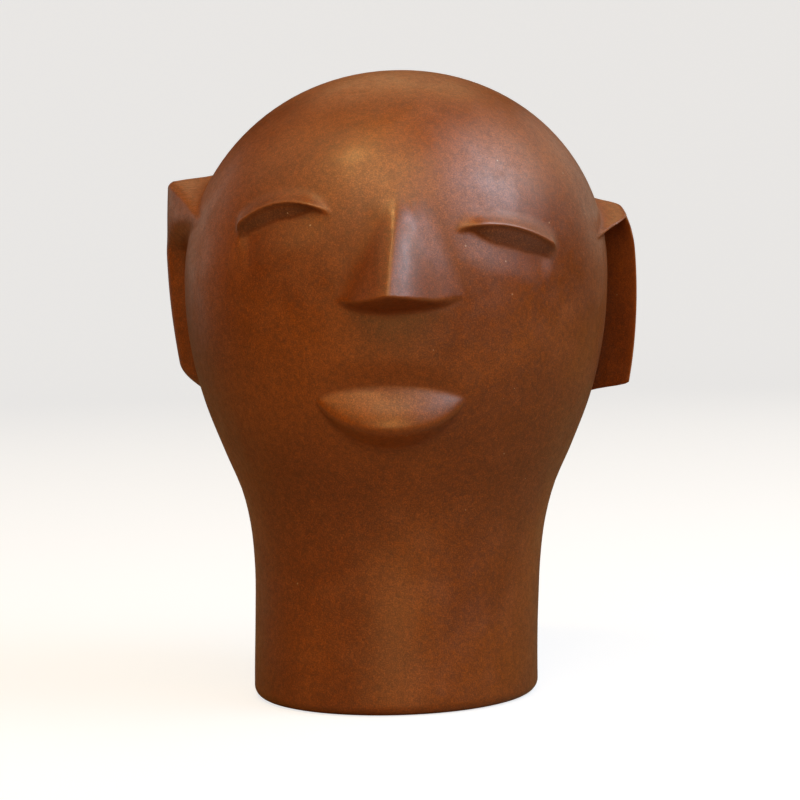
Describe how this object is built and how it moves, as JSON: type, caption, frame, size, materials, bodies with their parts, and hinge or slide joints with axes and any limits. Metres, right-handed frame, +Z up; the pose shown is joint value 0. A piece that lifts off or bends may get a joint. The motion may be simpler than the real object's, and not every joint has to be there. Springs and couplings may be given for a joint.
{
  "type": "ceramic head sculpture",
  "caption": "Abstract fired-clay head on a round neck with slab ears, slit lids, a wedge nose and a lens-shaped mouth; a tabletop ornament that stands on its flat foot.",
  "frame": {"origin": "centre of the flat underside of the neck, where the sculpture stands", "axes": "+Z up through the crown, -Y the way the face looks, +X towards the ear on the viewer's right"},
  "size_m": [0.2134, 0.2106, 0.28],
  "materials": {
    "burnished_clay": "burnished reddish-brown fired clay with a satin sheen, fine grain and faint mottling"
  },
  "bodies": {
    "root": {"ceramic_head": "burnished_clay"}
  },
  "joints": []
}
